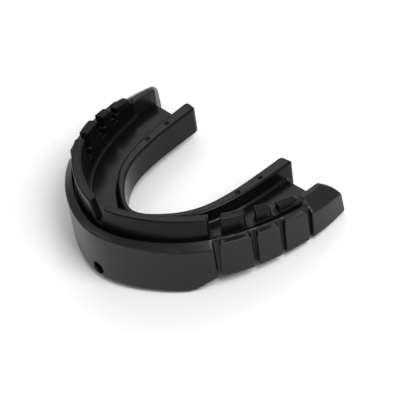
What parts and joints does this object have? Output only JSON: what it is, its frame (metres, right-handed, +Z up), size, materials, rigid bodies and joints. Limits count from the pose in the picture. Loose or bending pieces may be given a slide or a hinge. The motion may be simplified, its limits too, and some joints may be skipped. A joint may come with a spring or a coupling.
{
  "type": "mouthguard",
  "caption": "U-shaped upper-arch sports mouthguard with a beveled front bumper, a tooth channel and a cheek-side wall slotted into wings and fins that bend outward",
  "frame": {"origin": "centre of the footprint at the height of the front lip's lower edge", "axes": "+X across the arch to one arm, +Y to the open rear of the arch (back teeth), -Y to the lips, +Z up to the gums, the side the teeth enter from"},
  "size_m": [0.0608, 0.0454, 0.0185],
  "materials": {
    "shell": "semi-gloss black moulded thermoplastic elastomer, tough grade",
    "liner": "glossy black soft thermoplastic elastomer"
  },
  "bodies": {
    "guard": {"outer_shell": "shell", "inner_liner": "liner"},
    "front_wing_right": {"front_wing_right": "liner"},
    "fin_1_right": {"fin_1_right": "liner"},
    "fin_2_right": {"fin_2_right": "liner"},
    "fin_3_right": {"fin_3_right": "liner"},
    "front_wing_left": {"front_wing_left": "liner"},
    "fin_1_left": {"fin_1_left": "liner"},
    "fin_2_left": {"fin_2_left": "liner"},
    "fin_3_left": {"fin_3_left": "liner"}
  },
  "joints": [
    {"name": "front_wing_right_flex", "type": "hinge", "parent": "guard", "child": "front_wing_right", "pos_m": [0.01203, -0.01606, 0.01266], "axis": [0.8537, 0.5208, 0], "range_deg": [0, 5], "stiffness_Nm_per_rad": 0.06},
    {"name": "fin_1_right_flex", "type": "hinge", "parent": "guard", "child": "fin_1_right", "pos_m": [0.02347, -0.00348, 0.01266], "axis": [0.4304, 0.9026, 0], "range_deg": [0, 12], "stiffness_Nm_per_rad": 0.02},
    {"name": "fin_2_right_flex", "type": "hinge", "parent": "guard", "child": "fin_2_right", "pos_m": [0.02586, 0.0029, 0.01266], "axis": [0.2844, 0.9587, 0], "range_deg": [0, 12], "stiffness_Nm_per_rad": 0.02},
    {"name": "fin_3_right_flex", "type": "hinge", "parent": "guard", "child": "fin_3_right", "pos_m": [0.0273, 0.00904, 0.01266], "axis": [0.1663, 0.9861, 0], "range_deg": [0, 12], "stiffness_Nm_per_rad": 0.02},
    {"name": "front_wing_left_flex", "type": "hinge", "parent": "guard", "child": "front_wing_left", "pos_m": [-0.01203, -0.01606, 0.01266], "axis": [0.8537, -0.5208, 0], "range_deg": [0, 5], "stiffness_Nm_per_rad": 0.06},
    {"name": "fin_1_left_flex", "type": "hinge", "parent": "guard", "child": "fin_1_left", "pos_m": [-0.02347, -0.00348, 0.01266], "axis": [0.4304, -0.9026, 0], "range_deg": [0, 12], "stiffness_Nm_per_rad": 0.02},
    {"name": "fin_2_left_flex", "type": "hinge", "parent": "guard", "child": "fin_2_left", "pos_m": [-0.02586, 0.0029, 0.01266], "axis": [0.2844, -0.9587, 0], "range_deg": [0, 12], "stiffness_Nm_per_rad": 0.02},
    {"name": "fin_3_left_flex", "type": "hinge", "parent": "guard", "child": "fin_3_left", "pos_m": [-0.0273, 0.00904, 0.01266], "axis": [0.1663, -0.9861, 0], "range_deg": [0, 12], "stiffness_Nm_per_rad": 0.02}
  ]
}
